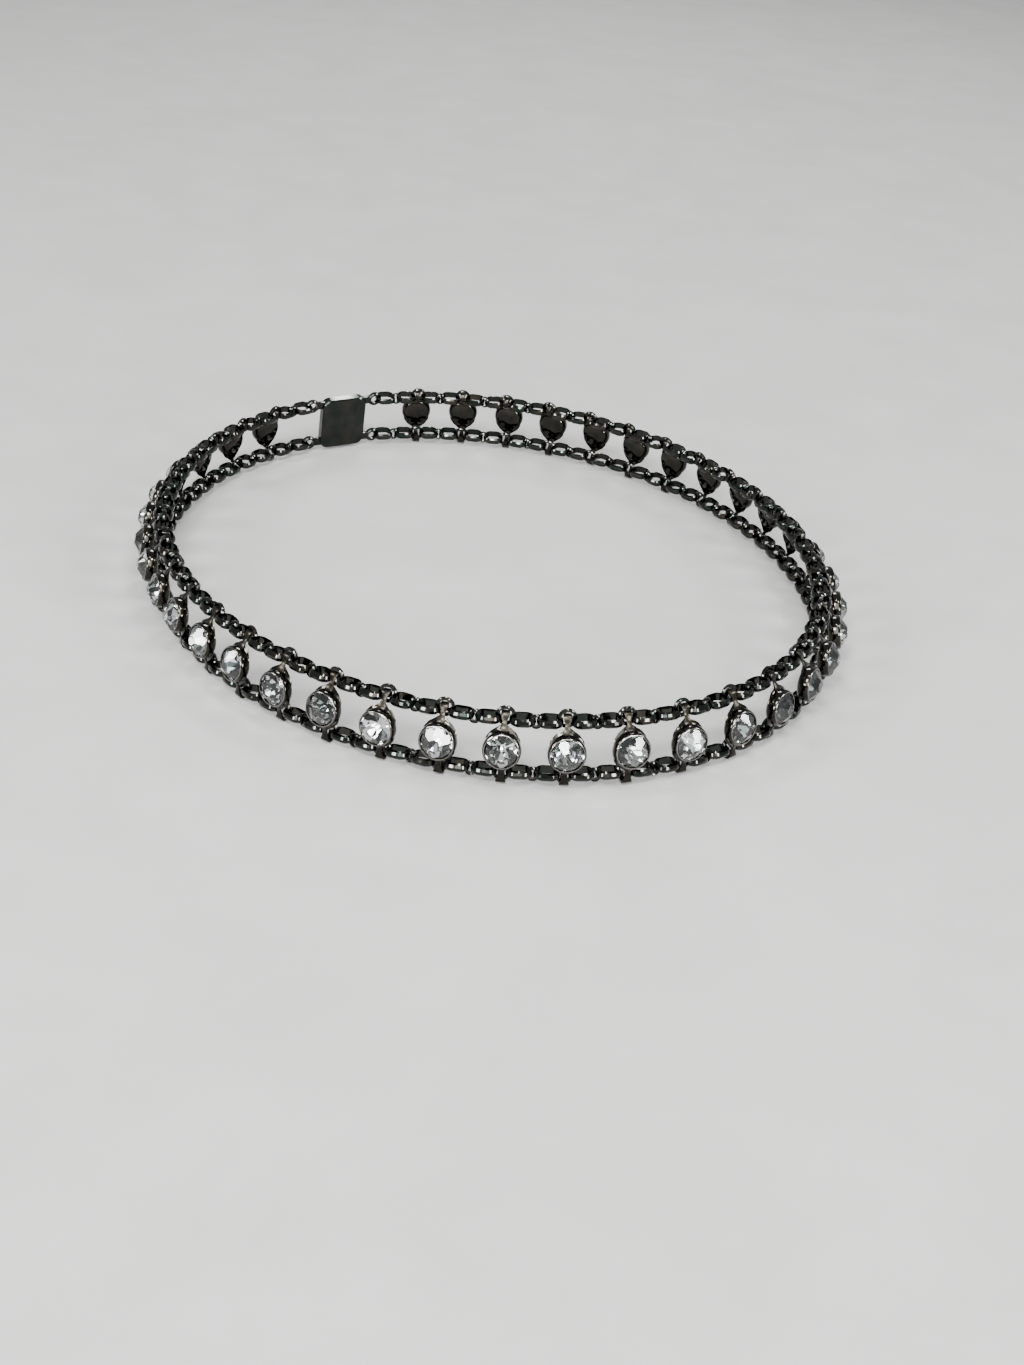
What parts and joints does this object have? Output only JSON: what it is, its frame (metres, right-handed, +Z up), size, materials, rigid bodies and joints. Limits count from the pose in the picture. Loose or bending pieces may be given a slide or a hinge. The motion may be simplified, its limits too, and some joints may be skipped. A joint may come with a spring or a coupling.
{
  "type": "choker necklace",
  "caption": "Two-row chain choker with a ladder of round rhinestones in closed cup settings, strapped to both rows, with a plain clasp at the back.",
  "frame": {"origin": "on the axis of the neck opening, halfway up the band, where the neck holds the choker", "axes": "+Z up along the neck, -Y towards the wearer's front, +X towards the wearer's left"},
  "size_m": [0.115, 0.1321, 0.0108],
  "materials": {
    "crystal": "clear faceted crystal with a silvered back, in a dark metal cup",
    "gunmetal": "polished black nickel (gunmetal) plating with a faint green-brown tint"
  },
  "bodies": {
    "root": {"setting_01": "crystal", "setting_02": "crystal", "setting_03": "crystal", "setting_04": "crystal", "setting_05": "crystal", "setting_06": "crystal", "setting_07": "crystal", "setting_08": "crystal", "setting_09": "crystal", "setting_10": "crystal", "setting_11": "crystal", "setting_12": "crystal", "setting_13": "crystal", "setting_14": "crystal", "setting_15": "crystal", "setting_16": "crystal", "setting_17": "crystal", "setting_18": "crystal", "setting_19": "crystal", "setting_20": "crystal", "setting_21": "crystal", "setting_22": "crystal", "setting_23": "crystal", "setting_24": "crystal", "setting_25": "crystal", "setting_26": "crystal", "setting_27": "crystal", "setting_28": "crystal", "setting_29": "crystal", "setting_30": "crystal", "setting_31": "crystal", "setting_32": "crystal", "setting_33": "crystal", "setting_34": "crystal", "setting_35": "crystal", "setting_36": "crystal", "setting_37": "crystal", "setting_38": "crystal", "setting_39": "crystal", "upper_chain": "gunmetal", "lower_chain": "gunmetal", "clasp": "gunmetal"}
  },
  "joints": []
}
